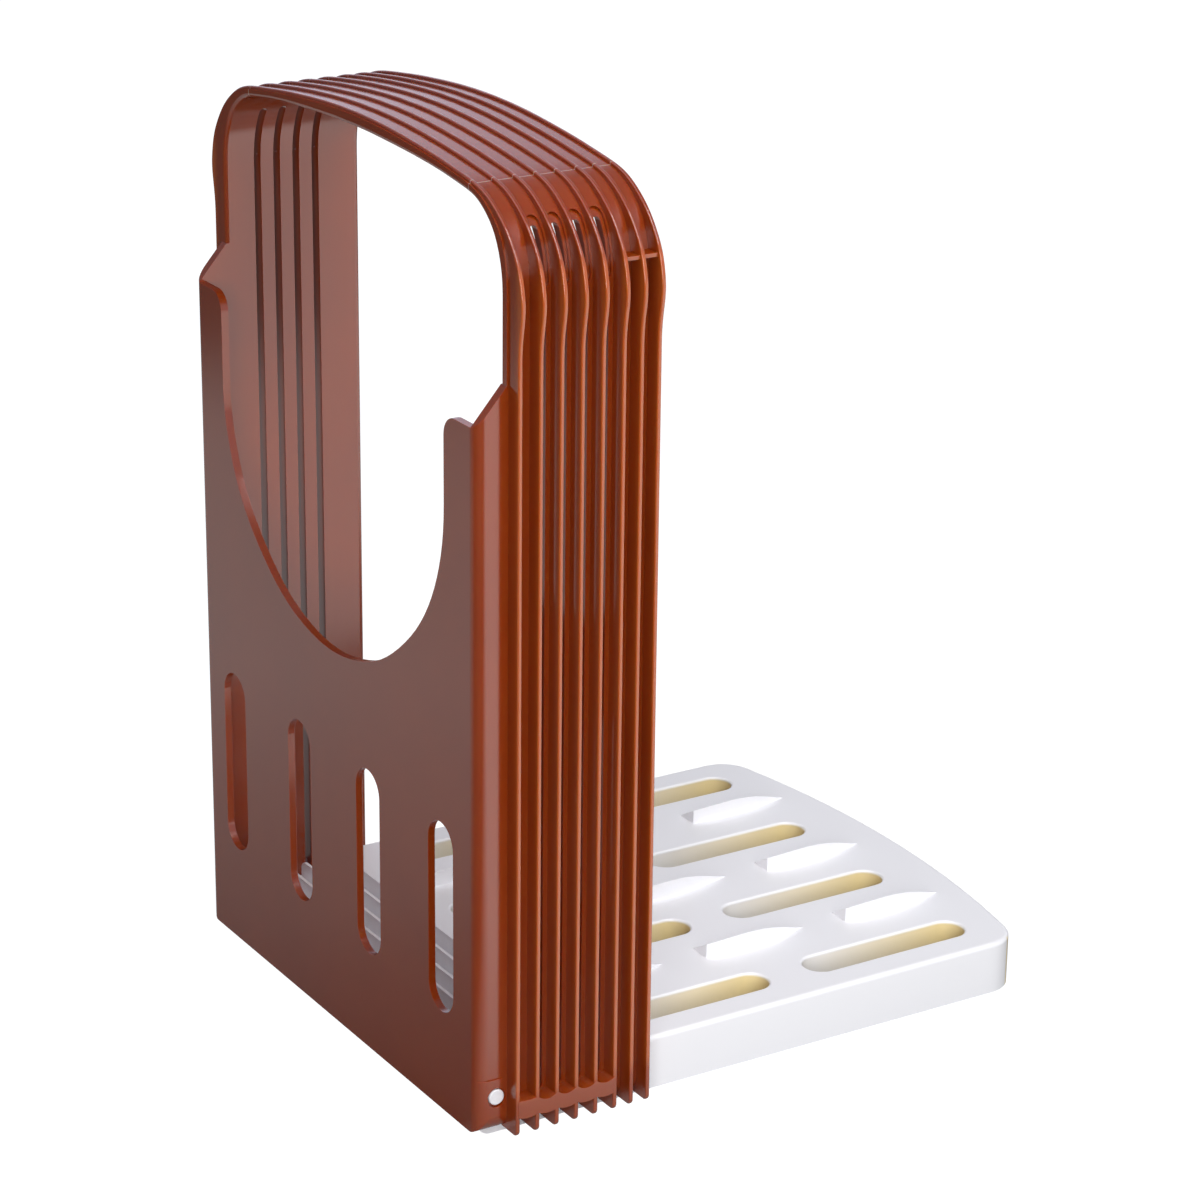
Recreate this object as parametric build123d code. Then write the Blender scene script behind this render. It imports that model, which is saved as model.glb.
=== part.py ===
from build123d import *
from math import cos, radians, sin
import os

os.makedirs("parts", exist_ok=True)

# A folding bread slicer guide. X runs across it, Y from the front panel to the back of
# the base, +Z up. Lengths are in millimetres. Everything is drawn with Y measured from the
# panel's front face and Z from the table, then moved so that the origin is bottom centre.

# ---- overall ---------------------------------------------------------------------
BODY_LIFT = 1.85          # underside of the brown body above the table
DEPTH = 172.7             # panel front face to the back of the base

# ---- ribs along Y ----------------------------------------------------------------
RIB_T = 1.1
RIB_FIRST_Y = 8.9
RIB_PITCH = 5.45          # the six ribs beside the knife slots
RIB_PITCH_BACK = 4.7      # the last two
KNIFE_RIBS = 6
BACK_RIBS = 2
RIB_Y = [RIB_FIRST_Y + RIB_PITCH * i for i in range(KNIFE_RIBS)]
RIB_Y += [RIB_Y[-1] + RIB_PITCH_BACK * (i + 1) for i in range(BACK_RIBS)]

# ---- arch and side walls ---------------------------------------------------------
INNER_HALF = 69.6         # clear half width between the side walls
SIDE_T = 2.6              # thickness of the side walls
RIB_DEPTH = 4.55          # how far the ribs stand out from the side walls
WALL_HALF = INNER_HALF + SIDE_T
WALL_BACK_Y = RIB_Y[-1] + RIB_T / 2
BACK_EDGE_R = 1.4         # rounding of the mouth's inner edge at the back
RIM_Y = 7.9               # front edge of the arch above the shoulders
RIM_EDGE_R = 0.9          # rounding of the window's inner edge
SHOULDER_Z = 177.7        # top of the front panel, above the body's underside
SHOULDER_TOP_Z = 186.8    # where the sloping shoulder edge reaches the rim
CORNER_R = 3.1            # vertical corners of the panel
FOOT_CORNER_R = 4.0       # bottom corners of the panel
# half outlines of the arch, (x, z), from where the side turns in up to the crown; each is
# widened so that its first point lies on the side that it belongs to
INNER_ARCH = [(69.6, 204.0), (69.4, 210.6), (67.7, 217.0), (65.2, 221.3), (62.0, 224.3),
              (57.4, 226.8), (51.6, 228.0), (43.3, 229.1), (34.9, 229.9), (25.8, 230.5),
              (17.0, 230.9), (8.5, 231.2), (0.0, 231.3)]
OUTER_ARCH = [(72.2, 206.0), (71.9, 212.0), (70.7, 217.4), (68.2, 221.9), (64.5, 225.3),
              (59.9, 228.0), (53.8, 229.7), (46.6, 230.72), (39.5, 231.62), (31.2, 232.47),
              (23.0, 233.17), (15.3, 233.69), (7.6, 234.0), (0.0, 234.1)]
RIB_ARCH = [(76.75, 190.0), (76.85, 195.6), (77.5, 200.6), (78.1, 205.3), (77.6, 209.9),
            (76.3, 214.2), (73.9, 218.3), (70.6, 222.3), (66.0, 226.0), (60.6, 228.8),
            (53.8, 230.4), (46.6, 231.4), (39.5, 232.3), (31.2, 233.15), (23.0, 233.85),
            (15.3, 234.37), (7.6, 234.68), (0.0, 234.78)]
RIB_EDGE_R = 0.4
RIB_FOOT_R = 1.6          # bottom outer corner of each rib
RIB_FOOT_Z = -0.3         # the ribs reach just below the side walls

# ---- knife slots in the side walls -----------------------------------------------
KNIFE_Y = [(RIB_Y[i] + RIB_Y[i + 1]) / 2 for i in range(1, KNIFE_RIBS - 1)]
KNIFE_W = 1.9
KNIFE_BOTTOM_Z = 8.6
KNIFE_TOP_Z = 221.6
POCKET_W = 3.4            # shallow arched pocket round the top of each knife slot
POCKET_TOP_Z = 223.8
POCKET_BOTTOM_Z = 208.0
POCKET_DEPTH = 0.7

# ---- bands that bridge the ribs --------------------------------------------------
BAND_PROUD = 0.12         # beyond the ribs' outer edges
BAND_OUT = WALL_HALF + RIB_DEPTH + BAND_PROUD
BAND_IN = WALL_HALF - SIDE_T / 2
BAND_PEAK_Z = 9.3
BAND_VALLEY_Z = 8.1
BAND_LOW_Z = 4.9
BAND_BULGE_Z = 4.3
WEB_SET_BACK = 0.85       # small webs between the last three ribs at the shoulder
WEB_OUT = WALL_HALF + RIB_DEPTH - WEB_SET_BACK
WEB_Z = 213.2
WEB_T = 0.9

# ---- front panel -----------------------------------------------------------------
PANEL_T = 2.0
PANEL_SLOT_PITCH = 36.6
PANEL_SLOTS = 4
PANEL_SLOT_W = 12.1
PANEL_SLOT_Z = (26.3, 76.0)
PANEL_SLOT_EDGE_R = 0.3
HORN_R = 5.0              # rounding of the two horns beside the cutout
CUTOUT = [(57.2, 156.0), (56.6, 147.5), (54.6, 139.3), (50.6, 130.3), (44.8, 122.2),
          (36.2, 114.2), (25.6, 107.2), (13.0, 102.7), (6.5, 101.5), (0.0, 101.1)]

# ---- hinge -----------------------------------------------------------------------
PIN_R = 2.05
PIN_RUN = 0.05            # running clearance of the pin in the side wall
PIN_Y = 5.37
PIN_Z = 9.47
PIN_GRIP = 8.3            # length of pin pressed into the base's boss
PAD_PROUD = 0.35          # pad round the pin, proud of the side wall
PAD_OUT = WALL_HALF + PAD_PROUD
PAD_BACK_Y = 6.9
PAD_TOP_Z = 14.3
COUNTERBORE_R = 2.55
COUNTERBORE_DEPTH = 0.75

# ---- white base ------------------------------------------------------------------
BASE_GAP = 0.6            # between the base and each side wall
BASE_HALF = INNER_HALF - BASE_GAP
BASE_H = 14.15
BASE_FRONT_GAP = 0.4      # between the base and the panel
BASE_FRONT_Y = PANEL_T + BASE_FRONT_GAP
BASE_CROWN_R = 290.0      # gentle bow of the back edge
BASE_CORNER_R = 10.0
BASE_EDGE_R = 1.2
BASE_NOSE_R = PIN_Y - BASE_FRONT_Y  # rounding about the pin, so that the base clears the panel
BASE_WALL = 2.2
GROOVE_Y = (RIB_Y[1], RIB_Y[KNIFE_RIBS - 1])  # lowered deck under the knife
GROOVE_FLOOR = 9.15
GROOVE_FLOOR_T = 2.0
RIDGE_T = 0.85
RIDGE_Y = RIB_Y[2:KNIFE_RIBS - 1]
RIDGE_SET_BACK = 1.4      # the ridges stop short of the base's sides
RIDGE_END_R = 2.2
PIN_IN = BASE_HALF - PIN_GRIP
BOSS_WALL = 2.0
BASE_SLOT_PITCH = 37.1
BASE_SLOT_W = 9.6
BASE_SLOT_RIM_R = 0.7
BASE_SLOT_ROWS = [(44.5, 94.2), (106.2, 155.8)]
COLLAR_T = 1.5            # wall round each row slot under the deck
COLLAR_BOTTOM_Z = 6.2
CLEAT_COLUMNS = 3
CLEAT_PITCH_X = 36.9
CLEAT_ROWS = 3
CLEAT_FIRST_Y = 43.6
CLEAT_PITCH_Y = 43.55
# one cleat: (distance behind its front, left edge, right edge, height)
CLEAT_SECTIONS = [(0.0, -4.9, 1.7, 3.8), (3.5, -4.9, 2.0, 4.1), (8.0, -4.85, 2.35, 4.5),
                  (12.5, -4.6, 2.45, 4.7), (16.5, -4.2, 2.15, 4.45), (20.5, -3.7, 1.5, 3.7),
                  (25.0, -3.0, 0.5, 2.3), (29.0, -2.2, -0.35, 0.9), (31.6, -1.5, -0.95, 0.1)]


def widened(points, half):
    """Stretch a half arch across X so that its first point lies at half."""
    return [(x * half / points[0][0], z) for x, z in points]


def arch_face(points, foot_z, foot_r=0.0):
    """Closed outline in the XZ plane: straight sides, then a smooth arch over the top."""
    side_x, side_z = points[0]
    right = Spline(points, tangents=[(0, 1), (-1, 0)], tangent_scalars=[1, 1])
    mirrored = [(-x, z) for x, z in reversed(points)]
    left = Spline(mirrored, tangents=[(-1, 0), (0, -1)], tangent_scalars=[1, 1])
    legs = Polyline((-side_x, side_z), (-side_x, foot_z), (side_x, foot_z), (side_x, side_z))
    face = make_face([right, left, legs])
    if foot_r:
        corners = [v for v in face.vertices() if abs(v.Y - foot_z) < 0.01]
        face = fillet(corners, foot_r)
    return face


def inset(points, distance):
    """Move the points of a half arch inwards along its normals; the last stays on the centre line."""
    moved = [(points[0][0] - distance, points[0][1])]
    for before, here, after in zip(points, points[1:], points[2:]):
        dx = after[0] - before[0]
        dz = after[1] - before[1]
        length = (dx ** 2 + dz ** 2) ** 0.5
        moved.append((here[0] - distance * dz / length, here[1] + distance * dx / length))
    moved.append((0.0, points[-1][1] - distance))
    return moved


def along_y(face, y0, y1):
    """Extrude a face drawn as (x, z) from y0 to y1."""
    return Pos(0, y1, 0) * (Plane.XZ * extrude(face, y1 - y0))


def along_x(face, x0, x1):
    """Extrude a face drawn as (y, z) from x0 to x1."""
    return Pos(x0, 0, 0) * (Plane.YZ * extrude(face, x1 - x0))


def flare(points, y, outward, radius):
    """Tool that rounds the inner edge of an arched opening at y; outward is its direction along Y."""
    rings = []
    for degrees_round in (0, 30, 60, 90):
        turn = radians(degrees_round)
        ring = arch_face(inset(points, -radius * (1 - cos(turn))), -5.0)
        rings.append(Pos(0, y - outward * radius * (1 - sin(turn)), 0) * (Plane.XZ * ring))
    rings.append(Pos(0, y + outward * 0.5, 0) * (Plane.XZ * arch_face(inset(points, -radius), -5.0)))
    return loft(rings, ruled=True)


def both_sides(shape):
    return [shape, mirror(shape, Plane.YZ)]


def x_rod(radius, x0, x1, y, z):
    return Pos((x0 + x1) / 2, y, z) * Rot(0, 90, 0) * Cylinder(radius, abs(x1 - x0))


def block(x0, x1, y0, y1, z0, z1):
    return Pos((x0 + x1) / 2, (y0 + y1) / 2, (z0 + z1) / 2) * Box(x1 - x0, y1 - y0, z1 - z0)


def front_corners(half, depth, radius, height):
    """Tall prism whose two front vertical corners are rounded."""
    face = Pos(0, depth / 2) * Rectangle(2 * half, depth)
    corners = [v for v in face.vertices() if v.Y < 0.01]
    return Pos(0, 0, -1) * extrude(fillet(corners, radius), height)


# ---- slicer frame: one moulding, drawn with its underside at z = 0 ---------------------
def make_frame():
    inner_arch = widened(INNER_ARCH, INNER_HALF)
    outer_arch = widened(OUTER_ARCH, WALL_HALF)
    rib_arch = widened(RIB_ARCH, WALL_HALF + RIB_DEPTH)
    skin = along_y(arch_face(outer_arch, 0.0, FOOT_CORNER_R), 0.0, WALL_BACK_Y)
    skin = skin & front_corners(WALL_HALF, WALL_BACK_Y + 10, CORNER_R, 260)
    shoulder = make_face(Polyline((-1, SHOULDER_Z), (0, SHOULDER_Z), (RIM_Y, SHOULDER_TOP_Z),
                                  (RIM_Y, 260), (-1, 260), close=True))
    skin -= along_x(shoulder, -100, 100)

    rib_face = arch_face(rib_arch, RIB_FOOT_Z, RIB_FOOT_R)
    plate = along_y(rib_face, -RIB_T / 2, RIB_T / 2)
    outer_edges = plate.faces().sort_by(Axis.Y)[0].edges() + plate.faces().sort_by(Axis.Y)[-1].edges()
    plate = fillet(outer_edges, RIB_EDGE_R)
    frame = skin
    for y in RIB_Y:
        frame += Pos(0, y, 0) * plate
    frame -= along_y(arch_face(inner_arch, -5.0), -5, WALL_BACK_Y + 10)

    # round the inner edges of the mouth at the back and of the window at the front
    frame -= flare(inner_arch, WALL_BACK_Y, 1, BACK_EDGE_R)
    window = block(-100, 100, -1, RIM_Y + 5, SHOULDER_TOP_Z, 300)
    frame -= flare(inner_arch, RIM_Y, -1, RIM_EDGE_R) & window

    # knife slots, each with a shallow arched pocket round its top
    slot_mid = (KNIFE_BOTTOM_Z + KNIFE_TOP_Z) / 2
    pocket_mid = (POCKET_BOTTOM_Z + POCKET_TOP_Z) / 2
    slot_face = SlotOverall(KNIFE_TOP_Z - KNIFE_BOTTOM_Z, KNIFE_W, rotation=90)
    pocket_face = SlotOverall(POCKET_TOP_Z - POCKET_BOTTOM_Z, POCKET_W, rotation=90)
    core = along_y(arch_face(inset(outer_arch, POCKET_DEPTH), -5.0), -5, WALL_BACK_Y + 5)
    for y in KNIFE_Y:
        pocket = along_x(Pos(y, pocket_mid) * pocket_face, INNER_HALF - 9, WALL_HALF + 2) - core
        for tool in both_sides(pocket):
            frame -= tool
        slot = along_x(Pos(y, slot_mid) * slot_face, INNER_HALF - 9, WALL_HALF + 2)
        for tool in both_sides(slot):
            frame -= tool

    # scalloped band along the feet of the ribs
    for i in range(KNIFE_RIBS - 1):
        y0 = RIB_Y[i]
        y1 = RIB_Y[i + 1]
        mid = (y0 + y1) / 2
        valley = BAND_VALLEY_Z if i else BAND_PEAK_Z - 0.2
        top = ThreePointArc((y0, BAND_PEAK_Z), (mid, valley), (y1, BAND_PEAK_Z))
        low = ThreePointArc((y1, BAND_LOW_Z), (mid, BAND_BULGE_Z), (y0, BAND_LOW_Z))
        ends = [Line((y1, BAND_PEAK_Z), (y1, BAND_LOW_Z)), Line((y0, BAND_LOW_Z), (y0, BAND_PEAK_Z))]
        for band in both_sides(along_x(make_face([top, low] + ends), BAND_IN, BAND_OUT)):
            frame += band

    # webs between the last three ribs
    for i in range(KNIFE_RIBS - 1, KNIFE_RIBS + BACK_RIBS - 1):
        web = block(BAND_IN - 0.6, WEB_OUT, RIB_Y[i], RIB_Y[i + 1], WEB_Z - WEB_T / 2, WEB_Z + WEB_T / 2)
        for side in both_sides(web):
            frame += side

    # front panel with its cutout and four slots
    panel_face = Pos(0, SHOULDER_Z / 2) * Rectangle(2 * WALL_HALF, SHOULDER_Z)
    panel_face = fillet([v for v in panel_face.vertices() if v.Y < 0.01], FOOT_CORNER_R)
    right = Spline(CUTOUT, tangents=[(0, -1), (-1, 0)], tangent_scalars=[1, 1])
    mirrored = [(-x, z) for x, z in reversed(CUTOUT)]
    left = Spline(mirrored, tangents=[(-1, 0), (0, 1)], tangent_scalars=[1, 1])
    edge_x = CUTOUT[0][0]
    top = Polyline((-edge_x, CUTOUT[0][1]), (-edge_x, 200), (edge_x, 200), (edge_x, CUTOUT[0][1]))
    panel_face -= make_face([right, left, top])
    horns = [v for v in panel_face.vertices() if abs(v.Y - SHOULDER_Z) < 0.01 and abs(v.X) < WALL_HALF - 1]
    panel_face = fillet(horns, HORN_R)
    slot_h = PANEL_SLOT_Z[1] - PANEL_SLOT_Z[0]
    slot_z = sum(PANEL_SLOT_Z) / 2
    for i in range(PANEL_SLOTS):
        x = (i - (PANEL_SLOTS - 1) / 2) * PANEL_SLOT_PITCH
        panel_face -= Pos(x, slot_z) * SlotOverall(slot_h, PANEL_SLOT_W, rotation=90)
    panel = along_y(panel_face, 0.0, PANEL_T)
    for end_face in (panel.faces().sort_by(Axis.Y)[0], panel.faces().sort_by(Axis.Y)[-1]):
        slot_edges = [e for wire in end_face.inner_wires() for e in wire.edges()]
        panel = fillet(slot_edges, PANEL_SLOT_EDGE_R)
    panel = panel & front_corners(WALL_HALF, 40, CORNER_R, 260)
    frame += panel

    # raised pads round the pins, then the pin holes
    pad = front_corners(PAD_OUT, PAD_BACK_Y, CORNER_R + PAD_PROUD, 260)
    pad_face = Pos(0, PAD_TOP_Z / 2) * Rectangle(2 * PAD_OUT, PAD_TOP_Z)
    pad_face = fillet([v for v in pad_face.vertices() if v.Y < 0.01], FOOT_CORNER_R + PAD_PROUD)
    pad = pad & along_y(pad_face, -1, PAD_BACK_Y) & block(BAND_IN, PAD_OUT + 1, -1, PAD_BACK_Y, -1, 40)
    bore = x_rod(PIN_R + PIN_RUN, INNER_HALF - 3, PAD_OUT + 3, PIN_Y, PIN_Z)
    mouth = x_rod(COUNTERBORE_R, PAD_OUT - COUNTERBORE_DEPTH, PAD_OUT + 3, PIN_Y, PIN_Z)
    for side in both_sides(pad):
        frame += side
    for tool in both_sides(bore + mouth):
        frame -= tool
    return Pos(0, 0, BODY_LIFT) * frame


# ---- folding base: one moulding, open underneath ----------------------------------------
def base_outline(inset):
    half = BASE_HALF - inset
    centre_y = DEPTH - BASE_CROWN_R
    radius = BASE_CROWN_R - inset
    back_y = centre_y + (radius ** 2 - half ** 2) ** 0.5
    front_y = BASE_FRONT_Y + inset
    arc = ThreePointArc((half, back_y), (0, centre_y + radius), (-half, back_y))
    sides = Polyline((-half, back_y), (-half, front_y), (half, front_y), (half, back_y))
    face = make_face([arc, sides])
    corners = [v for v in face.vertices() if v.Y > 100]
    return fillet(corners, BASE_CORNER_R - inset)


def make_cleat():
    rings = []
    for y, left, right, height in CLEAT_SECTIONS:
        ring = Polyline((left, -0.6), (right, -0.6), (right, height), (left, 0.02), close=True)
        rings.append(Pos(0, y, 0) * (Plane.XZ * make_face(ring)))
    return loft(rings, ruled=True)


def make_base():
    tray = extrude(base_outline(0.0), BASE_H)
    top_edges = [e for e in tray.faces().sort_by(Axis.Z)[-1].edges() if e.center().Y > BASE_FRONT_Y + 1]
    tray = fillet(top_edges, BASE_EDGE_R)
    side = Pos(BASE_FRONT_Y + 100, BASE_H / 2) * Rectangle(200, BASE_H)
    side = fillet([v for v in side.vertices() if v.X < BASE_FRONT_Y + 1], BASE_NOSE_R)
    tray = tray & along_x(side, -100, 100)

    # lowered deck under the knife, with thin ridges between the grooves
    tray -= block(-100, 100, GROOVE_Y[0], GROOVE_Y[1], GROOVE_FLOOR, 40)
    ridge_h = BASE_H - GROOVE_FLOOR + 1
    ridge_face = Pos(0, BASE_H - ridge_h / 2) * Rectangle(2 * (BASE_HALF - RIDGE_SET_BACK), ridge_h)
    ridge_face = fillet([v for v in ridge_face.vertices() if v.Y > BASE_H - 0.01], RIDGE_END_R)
    for y in RIDGE_Y:
        tray += along_y(ridge_face, y - RIDGE_T / 2, y + RIDGE_T / 2)

    # hollow from below
    roof = BASE_H - BASE_WALL
    hollow = Pos(0, 0, -1) * extrude(base_outline(BASE_WALL), roof + 1)
    deck = block(-100, 100, GROOVE_Y[0] - GROOVE_FLOOR_T, GROOVE_Y[1] + GROOVE_FLOOR_T,
                 GROOVE_FLOOR - GROOVE_FLOOR_T, 40)
    hollow -= deck
    boss = block(PIN_IN - BOSS_WALL, 100, BASE_FRONT_Y, GROOVE_Y[0], PIN_Z + BODY_LIFT - 5, 40)
    for keep in both_sides(boss):
        hollow -= keep
    tray -= hollow

    # row slots with rounded rims, each in a collar under the deck
    rims = []
    for y0, y1 in BASE_SLOT_ROWS:
        for i in range(PANEL_SLOTS):
            x = (i - (PANEL_SLOTS - 1) / 2) * BASE_SLOT_PITCH
            slot = SlotOverall(y1 - y0, BASE_SLOT_W, rotation=90)
            collar = SlotOverall(y1 - y0 + 2 * COLLAR_T, BASE_SLOT_W + 2 * COLLAR_T, rotation=90)
            tray += Pos(x, (y0 + y1) / 2, COLLAR_BOTTOM_Z) * extrude(collar, roof + 0.5 - COLLAR_BOTTOM_Z)
            tray -= Pos(x, (y0 + y1) / 2, -5) * extrude(slot, 30)
            rims.append((x, (y0 + y1) / 2, (y1 - y0) / 2))
    top_face_edges = [e for e in tray.edges() if abs(e.center().Z - BASE_H) < 0.01]
    picked = []
    for e in top_face_edges:
        c = e.center()
        for x, y, half in rims:
            if abs(c.X - x) < BASE_SLOT_W / 2 + 0.2 and abs(c.Y - y) < half + 0.2:
                picked.append(e)
    tray = fillet(picked, BASE_SLOT_RIM_R)

    cleat = make_cleat()
    for i in range(CLEAT_COLUMNS):
        for j in range(CLEAT_ROWS):
            x = (i - (CLEAT_COLUMNS - 1) / 2) * CLEAT_PITCH_X
            tray += Pos(x, CLEAT_FIRST_Y + j * CLEAT_PITCH_Y, BASE_H) * cleat

    bore = x_rod(PIN_R, PIN_IN, BASE_HALF + 3, PIN_Y, PIN_Z + BODY_LIFT)
    for tool in both_sides(bore):
        tray -= tool
    return tray


def make_pin():
    pin = x_rod(PIN_R, PIN_IN, PAD_OUT, PIN_Y, PIN_Z + BODY_LIFT)
    end = pin.faces().sort_by(Axis.X)[-1].edges()
    return fillet(end, 0.35)


pin_right = make_pin()
nodes = {
    "slicer_frame": make_frame(),
    "folding_base": make_base(),
    "hinge_pin_right": pin_right,
    "hinge_pin_left": mirror(pin_right, Plane.YZ),
}
for name, shape in nodes.items():
    solids = (Pos(0, -DEPTH / 2, 0) * shape).solids()
    export_step(solids[0] if len(solids) == 1 else Compound(solids), os.path.join("parts", name + ".step"))
    box = shape.bounding_box()
    print(name, "solids", len(solids), "size", [round(v, 2) for v in box.size])
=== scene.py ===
# %% [markdown]
# # A folding bread slicer guide
# A loaf stands on a white hinged base and is pushed up to the front panel of a brown ribbed arch.
# A knife runs down through the matching slots in both side walls. The solids come from the packed
# CAD model: they already have the right shape, so this lesson gives them their finishes and adds
# the fine things a mould leaves on the surface.

# %% Load the CAD frame
import math

import bpy
from mathutils import Matrix, Vector

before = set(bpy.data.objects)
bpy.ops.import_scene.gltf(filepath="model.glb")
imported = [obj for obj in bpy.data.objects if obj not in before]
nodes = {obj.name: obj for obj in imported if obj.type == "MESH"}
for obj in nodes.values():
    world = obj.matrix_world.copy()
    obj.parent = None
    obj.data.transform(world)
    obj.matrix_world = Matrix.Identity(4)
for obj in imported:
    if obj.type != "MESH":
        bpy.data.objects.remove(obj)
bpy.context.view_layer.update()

# %% [markdown]
# Lengths are thought of in millimetres. The CAD is drawn from the front panel's front face and
# from the brown body's underside, so one helper turns such a place into the frame's metres.

# %% Lengths and places
MM = 0.001
DEPTH = 172.7      # panel front face to the back of the base
BODY_LIFT = 1.85   # the body's underside above the table
PIN_Y = 5.37       # the hinge pins
PIN_Z = 9.47


def at(x, y, z):
    """A place on the body, in mm from the panel's front face and the body's underside."""
    return Vector((x, y - DEPTH / 2, z + BODY_LIFT)) * MM


print("hinge axis at", at(0, PIN_Y, PIN_Z))

# %% [markdown]
# ## Camera
# The photograph looks at the guide from its right front corner, with a long lens. The pose was
# solved from the straight edges of the panel, the ribs and the base.

# %% Camera at the photograph's viewing angle
YAW, PITCH, ROLL = (math.radians(a) for a in (58.326, 20.348, 0.654))
CAMERA_PLACE = (758.694, -390.563, 430.517)
LENS = 111.354      # mm, on a sensor 36 mm wide
SENSOR_W = 36

forward = Vector((-math.sin(YAW) * math.cos(PITCH), math.cos(YAW) * math.cos(PITCH), -math.sin(PITCH)))
level_right = Vector((math.cos(YAW), math.sin(YAW), 0))
level_up = level_right.cross(forward)
right = math.cos(ROLL) * level_right + math.sin(ROLL) * level_up
up = math.cos(ROLL) * level_up - math.sin(ROLL) * level_right

camera_data = bpy.data.cameras.new("camera")
camera_data.lens = LENS
camera_data.sensor_width = SENSOR_W
camera = bpy.data.objects.new("camera", camera_data)
turned = Matrix((right, up, -forward)).transposed().to_4x4()
camera.matrix_world = Matrix.Translation(at(*CAMERA_PLACE)) @ turned
bpy.context.scene.collection.objects.link(camera)
bpy.context.scene.camera = camera
print("camera at", camera.location)

# %% [markdown]
# ## Colour and node helpers
# Colours are written as sRGB hex and turned to linear in one place. One function adds a node,
# sets its values and links its inputs. The few kinds of node that come back again and again, such
# as a sum or a ramp, have a short name of their own.

# %% Colour from a hex value
def colour(hex_value):
    """sRGB hex such as '7a3014' to a linear RGBA colour."""
    channels = [int(hex_value[i:i + 2], 16) / 255 for i in (0, 2, 4)]
    linear = [c / 12.92 if c <= 0.04045 else ((c + 0.055) / 1.055) ** 2.4 for c in channels]
    return (*linear, 1.0)


print("mid grey is", [round(c, 3) for c in colour("808080")])


# %% One helper that adds a node
def add(tree, kind, inputs=None, **settings):
    """Add a node, set its properties, then fill or link its inputs by name or number."""
    node = tree.nodes.new(kind)
    for name, value in settings.items():
        setattr(node, name, value)
    for name, value in (inputs or {}).items():
        if isinstance(value, bpy.types.NodeSocket):
            tree.links.new(value, node.inputs[name])
        else:
            node.inputs[name].default_value = value
    return node


# %% Short names for the nodes used most
BUMP_DEPTH = 0.02      # mm, from the lowest to the highest mark


def maths(tree, operation, *values):
    """One sum on sockets or numbers."""
    return add(tree, "ShaderNodeMath", dict(enumerate(values)), operation=operation).outputs[0]


def ramp(tree, value, start, end, low=0.0, high=1.0):
    """low where value is at start, high where it is at end, even between them and flat beyond."""
    return add(tree, "ShaderNodeMapRange", {
        "Value": value, "From Min": start, "From Max": end, "To Min": low, "To Max": high}).outputs["Result"]


def blend(tree, amount, first, second, kind="RGBA"):
    """first where amount is 0, second where it is 1; colours, or numbers with kind FLOAT."""
    return add(tree, "ShaderNodeMix", {"Factor": amount, "A": first, "B": second},
               data_type=kind).outputs["Result"]


def place_and_axes(tree):
    """The object's own coordinates as one vector, and split into X, Y and Z."""
    place = add(tree, "ShaderNodeTexCoord").outputs["Object"]
    return place, add(tree, "ShaderNodeSeparateXYZ", {"Vector": place}).outputs


def mottle(tree, place, size, detail=2.0):
    """Noise whose spots are about size mm across."""
    return add(tree, "ShaderNodeTexNoise", {
        "Vector": place, "Scale": 1 / (size * MM), "Detail": detail}).outputs["Fac"]


def shallow_bump(tree, height, strength):
    """A normal tilted by marks a few hundredths of a millimetre deep."""
    return add(tree, "ShaderNodeBump", {"Height": height, "Strength": strength,
                                        "Distance": BUMP_DEPTH * MM}).outputs["Normal"]


print("helpers: maths, ramp, blend, place_and_axes, mottle, shallow_bump")


# %% Materials
def new_material(name):
    """A material with an empty node tree and its output node."""
    material = bpy.data.materials.new(name)
    material.use_nodes = True
    tree = material.node_tree
    tree.nodes.clear()
    return material, tree, tree.nodes.new("ShaderNodeOutputMaterial")


def plastic(name, finish):
    """A material whose plastic has the inputs that finish(tree) gives."""
    material, tree, output = new_material(name)
    surface = add(tree, "ShaderNodeBsdfPrincipled", finish(tree))
    tree.links.new(surface.outputs["BSDF"], output.inputs["Surface"])
    return material


print("materials so far:", len(bpy.data.materials))

# %% [markdown]
# ## Brown ABS, injection moulded in a polished mould
# ABS is a slightly waxy plastic. A polished mould leaves it glossy, so the eye reads it from the
# long soft reflections on flat faces. The pigment is a warm chocolate brown. Light enters a thin
# rib and comes out a little further on, redder, so the ribs and their edges glow orange while the
# thick flat panel stays brown: subsurface scattering does part of that here, and the rest is a
# painted glow, the colour turning orange towards the ribs' outer edges and staying darker, a
# painted shade, at their roots. The flow of the melt leaves the gloss a little uneven, which is
# drawn as a slow change of roughness, and the mould's last polishing marks as a very shallow
# bump. A hair-thin painted highlight line, paler than the face, runs across the shoulders where
# the crown turns down.

# %% Where the brown moulding gets painted light
HIGHLIGHT_LINE_X = 55.0       # the painted highlight line across the shoulders
HIGHLIGHT_LINE_W = 0.35
HIGHLIGHT_LINE_LOW_Z = 226.0  # the line is only on the arch's top
HIGHLIGHT_LINE_STRENGTH = 0.3
RIB_ROOT_X = 73.0      # where a rib's painted glow starts, and its outer edge
RIB_EDGE_X = 76.7
BAND_GLOW_FADE_Z = (10.0, 14.0)  # above the table: the band along the ribs' feet gets little painted glow
BAND_GLOW_SHARE = 0.15


def painted_highlight_line(tree, axis):
    """1 on the painted highlight line, 0 elsewhere."""
    side = maths(tree, "ABSOLUTE", axis["X"])
    near = maths(tree, "COMPARE", side, HIGHLIGHT_LINE_X * MM, HIGHLIGHT_LINE_W / 2 * MM)
    high = maths(tree, "GREATER_THAN", axis["Z"], (HIGHLIGHT_LINE_LOW_Z + BODY_LIFT) * MM)
    return maths(tree, "MULTIPLY", near, high)


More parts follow.
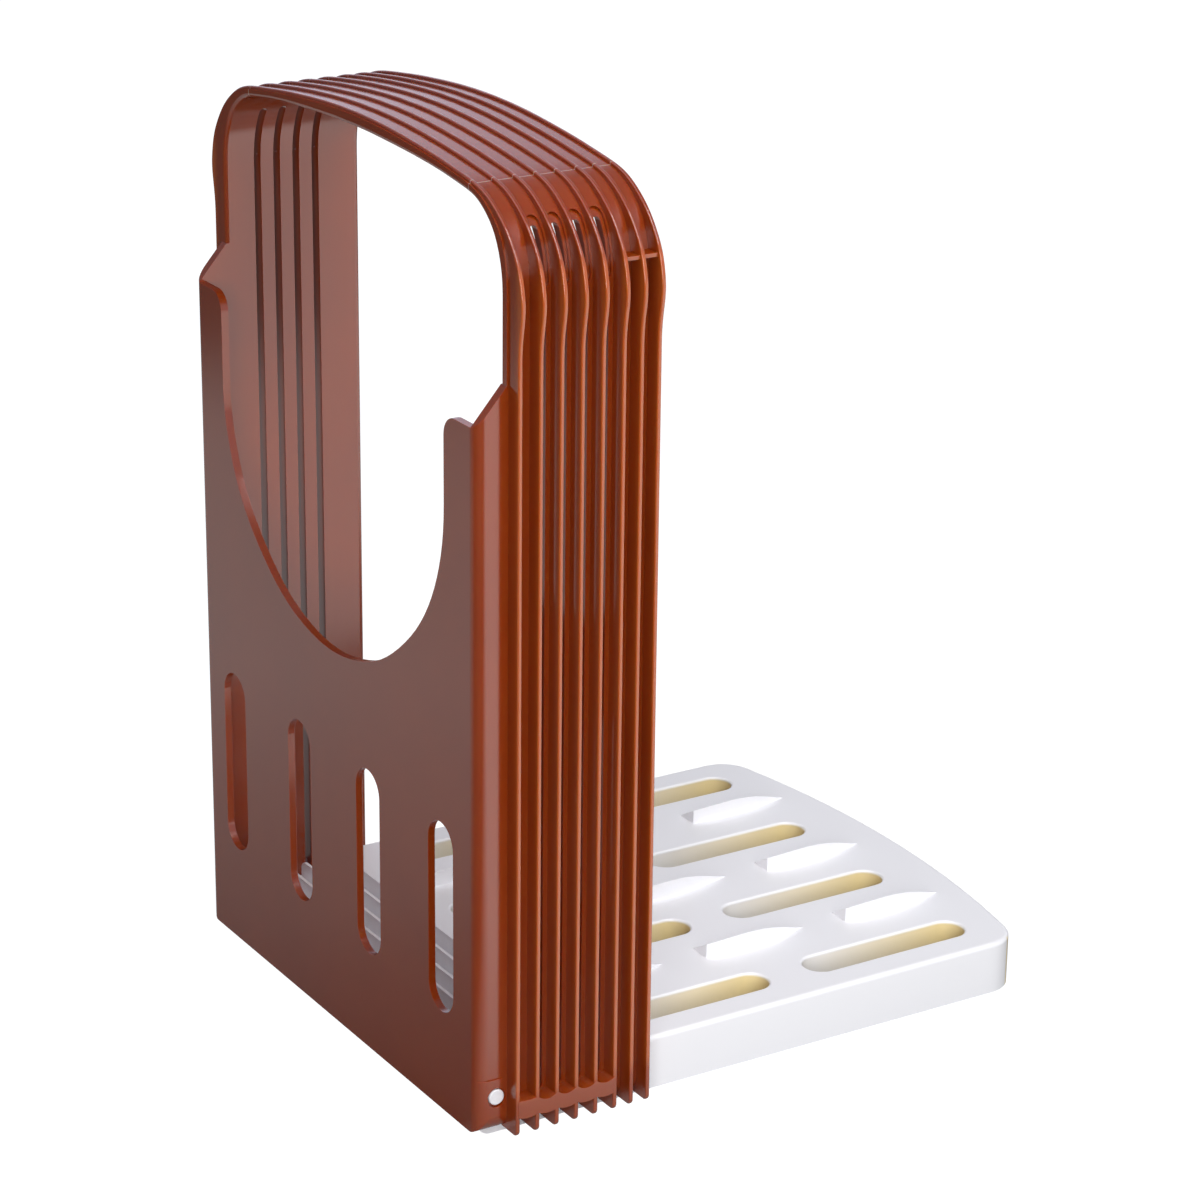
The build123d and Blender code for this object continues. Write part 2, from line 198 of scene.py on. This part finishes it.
def rib_glow_and_root_shade(tree, axis):
    """The painted glow and root shade of a rib: 0 at its root beside a side wall, rising ever faster to 1 at
    its outer edge.
    """
    side = maths(tree, "ABSOLUTE", axis["X"])
    steep = maths(tree, "POWER", ramp(tree, side, RIB_ROOT_X * MM, RIB_EDGE_X * MM), 3.0)
    low, high = BAND_GLOW_FADE_Z
    above_band = ramp(tree, axis["Z"], low * MM, high * MM, BAND_GLOW_SHARE, 1.0)
    return maths(tree, "MULTIPLY", steep, above_band)


# where the painted highlight line lies, and where the painted glow on the ribs starts
print("parting line at", HIGHLIGHT_LINE_X, "mm, ribs pale from", RIB_ROOT_X, "mm")

# %% Brown ABS
FLOW_SIZE = 38.0       # mm, how far apart the melt's streaks are
POLISH_SIZE = 1.2
BROWNS = ((0.3, colour("85320a")), (0.7, colour("8d370c")))  # amount of flow, and its colour
RIB_GLOW_ORANGE = colour("b0561f")
HIGHLIGHT_LINE_COLOUR = colour("e8d8cc")


def polished_brown(tree):
    place, axis = place_and_axes(tree)
    flow = mottle(tree, place, FLOW_SIZE, detail=3.0)
    tone = add(tree, "ShaderNodeValToRGB", {"Fac": flow})
    for element, (position, brown) in zip(tone.color_ramp.elements, BROWNS):
        element.position = position
        element.color = brown
    # painted orange glow towards the ribs' outer edges, painted shade at their roots
    with_rib_glow = blend(tree, rib_glow_and_root_shade(tree, axis), tone.outputs["Color"], RIB_GLOW_ORANGE)
    # painted highlight line where the crown turns down into the shoulders
    painted_line_amount = maths(tree, "MULTIPLY", painted_highlight_line(tree, axis), HIGHLIGHT_LINE_STRENGTH)
    polish = mottle(tree, place, POLISH_SIZE)
    return {
        "Base Color": blend(tree, painted_line_amount, with_rib_glow, HIGHLIGHT_LINE_COLOUR),
        "Roughness": ramp(tree, flow, 0.0, 1.0, 0.13, 0.19),
        "IOR": 1.54,
        "Normal": shallow_bump(tree, polish, 0.04),
        "Subsurface Weight": 0.5,
        "Subsurface Radius": (1.0, 0.28, 0.08),
        "Subsurface Scale": 1.4 * MM,
    }


frame_plastic = plastic("abs_chocolate_brown_polished", polished_brown)
print("made", frame_plastic.name)

# %% [markdown]
# ## White ABS, injection moulded with a satin finish
# The base is the same plastic in white, from a mould that was only sandblasted, so it is satin
# and shows broad highlights. The shell is thin and lets a little light through. Inside the slots
# that light is warm and dim, so the hidden inner faces get a painted warm shade, cream, from their
# place in the shell, palest at a slot's front end where the lamp reaches in.

# %% Where the base is hidden inside and gets painted shade
BASE_HALF = 69.0
BASE_CROWN_R = 290.0   # the bow of its back edge
SHELL_WALL = 2.2
SKIN = 0.3             # the painted shade starts this far into a wall
BASE_TOP_Z = 14.15     # above the table
RIM_FADE = (1.0, 0.3)  # how far below the top the painted shade is full, and where it ends
DECK_BACK_Y = 40.0     # just behind the lowered deck
ROW_FIRST_Y = 44.5     # front end of the first row of slots, from the panel
ROW_PITCH = 61.7       # from one row to the next
SLOT_SHADE = ((6.0, 0.15), (46.0, 0.95))  # mm from a slot's front end, and the painted shade there


def inside_shell(tree, place, axis):
    """1 below the top, between the side walls, ahead of the bowed back and behind the deck."""
    full, none = ((BASE_TOP_Z - depth) * MM for depth in RIM_FADE)
    inside = ramp(tree, axis["Z"], full, none, 1.0, 0.0)
    side = maths(tree, "ABSOLUTE", axis["X"])
    between = maths(tree, "LESS_THAN", side, (BASE_HALF - SHELL_WALL + SKIN) * MM)
    bow_centre = (0, at(0, DEPTH - BASE_CROWN_R, 0).y, 0)
    reach = add(tree, "ShaderNodeVectorMath", {0: place, 1: bow_centre}, operation="SUBTRACT").outputs[0]
    level = add(tree, "ShaderNodeVectorMath", {0: reach, 1: (1, 1, 0)}, operation="MULTIPLY").outputs[0]
    radius = add(tree, "ShaderNodeVectorMath", {0: level}, operation="LENGTH").outputs["Value"]
    ahead = maths(tree, "LESS_THAN", radius, (BASE_CROWN_R - SHELL_WALL + SKIN) * MM)
    behind_deck = maths(tree, "GREATER_THAN", axis["Y"], at(0, DECK_BACK_Y, 0).y)
    for test in (between, ahead, behind_deck):
        inside = maths(tree, "MULTIPLY", inside, test)
    return inside


def shade_down_the_slot(tree, axis):
    """Painted shade down each slot: palest at its front end, where the lamp reaches in."""
    along = maths(tree, "SUBTRACT", axis["Y"], at(0, ROW_FIRST_Y, 0).y)
    in_row = maths(tree, "FLOORED_MODULO", along, ROW_PITCH * MM)
    (start, pale), (end, full) = SLOT_SHADE
    return ramp(tree, in_row, start * MM, end * MM, pale, full)


print("the tint starts", DECK_BACK_Y, "mm behind the panel's front face")

# %% White ABS
GRAIN_SIZE = 0.6       # mm, of the sandblasted mould
SATIN_WHITE = colour("f4f4f8")
CREAM_PAINTED_SHADE = colour("f6e1a6")


def satin_white(tree):
    place, axis = place_and_axes(tree)
    # painted warm shade on the hidden inner faces, palest at each slot's front end
    painted_shade = maths(tree, "MULTIPLY", inside_shell(tree, place, axis), shade_down_the_slot(tree, axis))
    return {
        "Base Color": blend(tree, painted_shade, SATIN_WHITE, CREAM_PAINTED_SHADE),
        "Roughness": 0.38,
        "IOR": 1.54,
        "Normal": shallow_bump(tree, mottle(tree, place, GRAIN_SIZE), 0.08),
    }


base_plastic = plastic("abs_white_satin", satin_white)
print("made", base_plastic.name)

# %% [markdown]
# ## Grey white pin plastic
# The hinge pins are small turned or moulded pegs, smooth and a little greyer than the base.

# %% Pin plastic
PIN_MOTTLE = 1.5
PIN_GREY = colour("dcdce0")
PIN_WHITE = colour("eeeef2")


def smooth_grey_white(tree):
    place, _ = place_and_axes(tree)
    return {
        "Base Color": blend(tree, mottle(tree, place, PIN_MOTTLE), PIN_GREY, PIN_WHITE),
        "Roughness": 0.3,
        "IOR": 1.48,
    }


peg_plastic = plastic("acetal_grey_white_smooth", smooth_grey_white)
print("made", peg_plastic.name)

# %% [markdown]
# ## Dressing the CAD pieces
# The moulded pieces keep their CAD shape. Their faces are smoothed, except where two meet at more
# than 30 degrees, which keeps the flats flat and lets the rounded edges catch the light.

# %% Finishes and smoothing
SMOOTH_ANGLE = math.radians(30)
finishes = {
    "slicer_frame": frame_plastic,
    "folding_base": base_plastic,
    "hinge_pin_left": peg_plastic,
    "hinge_pin_right": peg_plastic,
}
for name, material in finishes.items():
    mesh = nodes[name].data
    mesh.materials.clear()
    mesh.materials.append(material)
    mesh.shade_smooth()
    mesh.set_sharp_from_angle(angle=SMOOTH_ANGLE)
    print(name, len(mesh.polygons), "faces,", material.name)

# %% [markdown]
# ## Studio
# One large soft lamp stands high on the right of the guide and a weaker one lower, on its right
# front. The camera sees the floor and the surround pure white. A gloss reads from what it mirrors,
# so glossy faces see a dark studio with white cards: one low behind the guide, one above its
# front, one on the floor at the left that fades towards the guide, and a bright one on the floor
# at the right. That gives the panel its slow gradient, the crown its pale strips and the ribs
# their deep colour.

# %% Floor
FLOOR_HALF = 3.0       # metres
PAPER_GREY = colour("7c7c7e")
WHITE = colour("ffffff")


def left_card(tree, place, axis):
    """Brighter away from the guide, gone beyond its far edge, and only on the left."""
    reach = add(tree, "ShaderNodeVectorMath", {0: place}, operation="LENGTH").outputs["Value"]
    outwards = maths(tree, "MULTIPLY", ramp(tree, reach, 110 * MM, 300 * MM, 0.25, 0.6),
                     ramp(tree, reach, 560 * MM, 680 * MM, 1.0, 0.1))
    return maths(tree, "MULTIPLY", outwards, ramp(tree, axis["X"], 60 * MM, -60 * MM, 0.1, 1.0))


def right_card(tree, axis):
    """Bright, close to the right side wall, and fading out in front of it."""
    return maths(tree, "MULTIPLY", ramp(tree, axis["X"], 60 * MM, 110 * MM, 0.0, 2.2),
                 ramp(tree, axis["Y"], -160 * MM, -20 * MM))


def studio_floor():
    mesh = bpy.data.meshes.new("studio_floor")
    corners = [(-FLOOR_HALF, -FLOOR_HALF, 0), (FLOOR_HALF, -FLOOR_HALF, 0),
               (FLOOR_HALF, FLOOR_HALF, 0), (-FLOOR_HALF, FLOOR_HALF, 0)]
    mesh.from_pydata(corners, [], [(0, 1, 2, 3)])
    floor = bpy.data.objects.new("studio_floor", mesh)
    bpy.context.scene.collection.objects.link(floor)
    material, tree, output = new_material("paper_white_backdrop")
    place, axis = place_and_axes(tree)
    mirrored = maths(tree, "ADD", left_card(tree, place, axis), right_card(tree, axis))
    path = add(tree, "ShaderNodeLightPath").outputs
    in_gloss = maths(tree, "MULTIPLY", path["Is Glossy Ray"], mirrored)
    strength = maths(tree, "ADD", in_gloss, path["Is Camera Ray"])
    paper = add(tree, "ShaderNodeBsdfDiffuse", {"Color": PAPER_GREY})
    glow = add(tree, "ShaderNodeEmission", {"Color": WHITE, "Strength": strength})
    both = add(tree, "ShaderNodeAddShader", {0: paper.outputs[0], 1: glow.outputs[0]})
    tree.links.new(both.outputs[0], output.inputs["Surface"])
    mesh.materials.append(material)
    return floor


print("floor", studio_floor().name)

# %% [markdown]
# The surround is told by direction: Z is 0 at the horizon and 1 overhead, Y is positive behind the
# guide and X on its right. In a gloss the surround looks a little cold, so that the brown keeps its
# warmth and its reflections turn lilac.

# %% Surround
SURROUND_LIGHT = 0.14  # what lights the matt faces
HORIZON_CARD = 1.3     # what glossy faces see low down behind the guide
TOP_CARD = 2.4         # and in the soft box above its front
OVERHEAD = 0.4         # and elsewhere
COLD_WHITE = colour("e8eaff")


def card_behind(tree, axis):
    """1 in the card behind the guide, which reaches higher on the right of it."""
    low = ramp(tree, axis["Z"], 0.66, 0.42)
    higher = maths(tree, "MULTIPLY", ramp(tree, axis["Z"], 0.9, 0.7, 0.0, 0.8),
                   ramp(tree, axis["X"], 0.05, 0.4))
    return maths(tree, "MULTIPLY", maths(tree, "MAXIMUM", low, higher), ramp(tree, axis["Y"], -0.25, 0.15))


def box_above(tree, axis):
    """1 in the soft box above the guide's front."""
    return maths(tree, "MULTIPLY", ramp(tree, axis["Z"], 0.66, 0.8), ramp(tree, axis["Y"], 0.35, 0.15))


def studio_surround():
    world = bpy.data.worlds.new("studio_surround")
    bpy.context.scene.world = world
    world.use_nodes = True
    tree = world.node_tree
    tree.nodes.clear()
    direction = add(tree, "ShaderNodeTexCoord").outputs["Generated"]
    axis = add(tree, "ShaderNodeSeparateXYZ", {"Vector": direction}).outputs
    behind = ramp(tree, card_behind(tree, axis), 0.0, 1.0, OVERHEAD, HORIZON_CARD)
    mirrored = ramp(tree, box_above(tree, axis), 0.0, 1.0, behind, TOP_CARD)
    path = add(tree, "ShaderNodeLightPath").outputs
    unseen = blend(tree, path["Is Glossy Ray"], SURROUND_LIGHT, mirrored, "FLOAT")
    strength = blend(tree, path["Is Camera Ray"], unseen, 1.0, "FLOAT")
    tint = blend(tree, path["Is Glossy Ray"], WHITE, COLD_WHITE)
    background = add(tree, "ShaderNodeBackground", {"Color": tint, "Strength": strength})
    output = add(tree, "ShaderNodeOutputWorld")
    tree.links.new(background.outputs[0], output.inputs["Surface"])


studio_surround()
print("surround light", SURROUND_LIGHT)

# %% Lamps
# name: (place, what it is turned to, side of its square, watts), with lengths in mm
LAMPS = {
    "key_lamp": ((750, 150, 1150), (0, 60, 90), 700, 12.5),
    "fill_lamp": ((1050, -620, 420), (0, 0, 110), 600, 9.5),
}


def soft_lamp(name, place, target, size, power):
    """A square area lamp at place, turned to target."""
    data = bpy.data.lights.new(name, "AREA")
    data.shape = "SQUARE"
    data.size = size * MM
    data.energy = power
    lamp = bpy.data.objects.new(name, data)
    lamp.location = at(*place)
    lamp.rotation_euler = (at(*target) - lamp.location).to_track_quat("-Z", "Y").to_euler()
    bpy.context.scene.collection.objects.link(lamp)


for name, settings in LAMPS.items():
    soft_lamp(name, *settings)
bpy.context.scene.view_settings.view_transform = "Standard"
